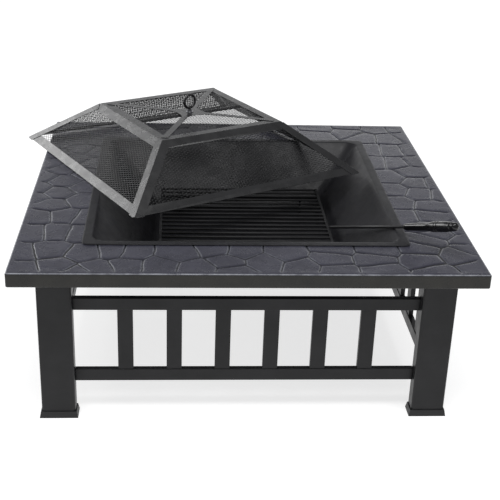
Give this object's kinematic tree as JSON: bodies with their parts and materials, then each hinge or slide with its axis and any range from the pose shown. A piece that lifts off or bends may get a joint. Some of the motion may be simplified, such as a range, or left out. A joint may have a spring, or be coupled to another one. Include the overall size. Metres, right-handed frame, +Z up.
{
  "type": "fire pit",
  "caption": "Square table fire pit with stone-pattern pressed top, drop-in sloping fire bowl, charcoal grate, poker and mesh spark screen with a ring handle.",
  "frame": {"origin": "on the floor, under the centre of the table", "axes": "+X to the right, +Y towards the back, +Z up"},
  "size_m": [0.8609, 0.9419, 0.4431],
  "materials": {
    "stone_pattern_steel": "pressed slate-pattern steel in satin dark blue-grey enamel",
    "frame_black": "satin charcoal-black powder coat",
    "cap_plastic": "moulded black plastic",
    "zinc_hardware": "zinc-plated fasteners",
    "bowl_black": "matt heat-resistant black paint",
    "grate_steel": "heat-resistant black paint over steel wire",
    "grip_black": "glossy black turned grip",
    "poker_steel": "black painted steel rod",
    "screen_mesh": "black painted expanded steel mesh",
    "screen_ring": "black painted steel rod",
    "screen_frame": "satin black painted folded steel strip"
  },
  "bodies": {
    "table": {"fixing_plate_back_left": "frame_black", "fixing_plate_back_right": "frame_black", "fixing_plate_front_left": "frame_black", "fixing_plate_front_right": "frame_black", "foot_cap_back_left": "cap_plastic", "foot_cap_back_right": "cap_plastic", "foot_cap_front_left": "cap_plastic", "foot_cap_front_right": "cap_plastic", "leg_back_left": "frame_black", "leg_back_right": "frame_black", "leg_front_left": "frame_black", "leg_front_right": "frame_black", "lower_rail_back": "frame_black", "lower_rail_front": "frame_black", "lower_rail_left": "frame_black", "lower_rail_right": "frame_black", "rail_bolts": "zinc_hardware", "rail_end_plugs": "frame_black", "slats_back": "frame_black", "slats_front": "frame_black", "slats_left": "frame_black", "slats_right": "frame_black", "stud_nuts": "zinc_hardware", "stud_washers": "zinc_hardware", "table_top": "stone_pattern_steel", "upper_rail_back": "frame_black", "upper_rail_front": "frame_black", "upper_rail_left": "frame_black", "upper_rail_right": "frame_black"},
    "bowl": {"fire_bowl": "bowl_black"},
    "grate": {"grate_bars": "grate_steel", "grate_feet": "grate_steel", "grate_rail_left": "grate_steel", "grate_rail_right": "grate_steel", "grate_ties": "grate_steel"},
    "poker": {"poker_collar": "poker_steel", "poker_grip": "grip_black", "poker_rod": "poker_steel"},
    "screen": {"screen_base_strip_back": "screen_frame", "screen_base_strip_front": "screen_frame", "screen_base_strip_left": "screen_frame", "screen_base_strip_right": "screen_frame", "screen_cross_rod": "screen_ring", "screen_eye_nut": "zinc_hardware", "screen_eye_ring": "screen_ring", "screen_eye_washer": "zinc_hardware", "screen_mesh_back": "screen_mesh", "screen_mesh_front": "screen_mesh", "screen_mesh_left": "screen_mesh", "screen_mesh_right": "screen_mesh", "screen_mesh_top": "screen_mesh", "screen_rib_back_left": "screen_frame", "screen_rib_back_right": "screen_frame", "screen_rib_front_left": "screen_frame", "screen_rib_front_right": "screen_frame", "screen_star_plate": "screen_frame", "screen_top_frame": "screen_frame"}
  },
  "joints": [
    {"name": "screen_lift", "type": "slide", "parent": "table", "child": "screen", "axis": [0, 0, 1], "range_m": [0, 0.6]},
    {"name": "bowl_lift", "type": "slide", "parent": "table", "child": "bowl", "axis": [0, 0, 1], "range_m": [0, 0.18]},
    {"name": "grate_lift", "type": "slide", "parent": "bowl", "child": "grate", "axis": [0, 0, 1], "range_m": [0, 0.15]},
    {"name": "poker_lift", "type": "slide", "parent": "grate", "child": "poker", "axis": [0, 0, 1], "range_m": [0, 0.25]}
  ],
  "couplings": [
    {"joint": "bowl_lift", "follows": "screen_lift", "ratio": 0.3},
    {"joint": "grate_lift", "follows": "screen_lift", "ratio": 0.25}
  ]
}
